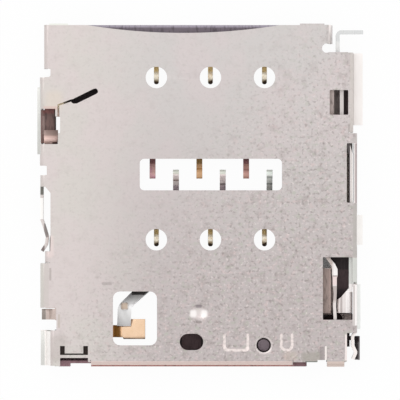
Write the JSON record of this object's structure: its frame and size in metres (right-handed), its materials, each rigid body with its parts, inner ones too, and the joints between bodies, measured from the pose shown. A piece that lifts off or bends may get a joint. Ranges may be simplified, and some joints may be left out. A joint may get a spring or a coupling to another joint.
{
  "type": "sim card socket",
  "caption": "Low surface-mount socket for a tray with a sim card and a memory card: folded steel cover, moulded frame, contact springs, push rod and eject lever.",
  "frame": {"origin": "centre of the outline on the board's surface, under the solder feet", "axes": "+Z away from the board, +Y towards the tray's mouth, +X towards the side with the push rod"},
  "size_m": [0.0154, 0.0162, 0.0014],
  "materials": {
    "cover_steel": "matte nickel plate",
    "frame_black": "fine moulded matte",
    "contact_gold": "gold plate",
    "memory_bronze": "gold-flashed copper alloy",
    "switch_gold": "bright gold plate",
    "spring_steel": "bright nickel plate",
    "lever_steel": "satin"
  },
  "bodies": {
    "socket": {"shell_cover": "cover_steel", "housing": "frame_black", "lever_pivot": "lever_steel", "side_spring": "memory_bronze", "tray_latch_spring": "spring_steel", "sim_contact_front_left": "contact_gold", "sim_contact_front_middle": "contact_gold", "sim_contact_front_right": "contact_gold", "sim_contact_rear_left": "contact_gold", "sim_contact_rear_middle": "contact_gold", "sim_contact_rear_right": "contact_gold", "memory_contact_1": "memory_bronze", "memory_contact_2": "memory_bronze", "memory_contact_3": "memory_bronze", "memory_contact_4": "memory_bronze", "memory_contact_5": "memory_bronze", "memory_contact_6": "memory_bronze", "memory_contact_7": "memory_bronze", "memory_contact_8": "memory_bronze", "detect_switch_terminal": "switch_gold", "detect_switch_spring": "spring_steel"},
    "rod": {"push_rod": "spring_steel"},
    "lever": {"eject_lever": "lever_steel"}
  },
  "joints": [
    {"name": "push_rod_slide", "type": "slide", "parent": "socket", "child": "rod", "axis": [0, -1, 0], "range_m": [0, 0.0008]},
    {"name": "eject_lever_turn", "type": "hinge", "parent": "socket", "child": "lever", "pos_m": [0.00299, -0.00704, 0.00057], "axis": [0, 0, 1], "range_deg": [-13, 0]}
  ],
  "couplings": [
    {"joint": "eject_lever_turn", "follows": "push_rod_slide", "rad_per_m": -280.4}
  ]
}
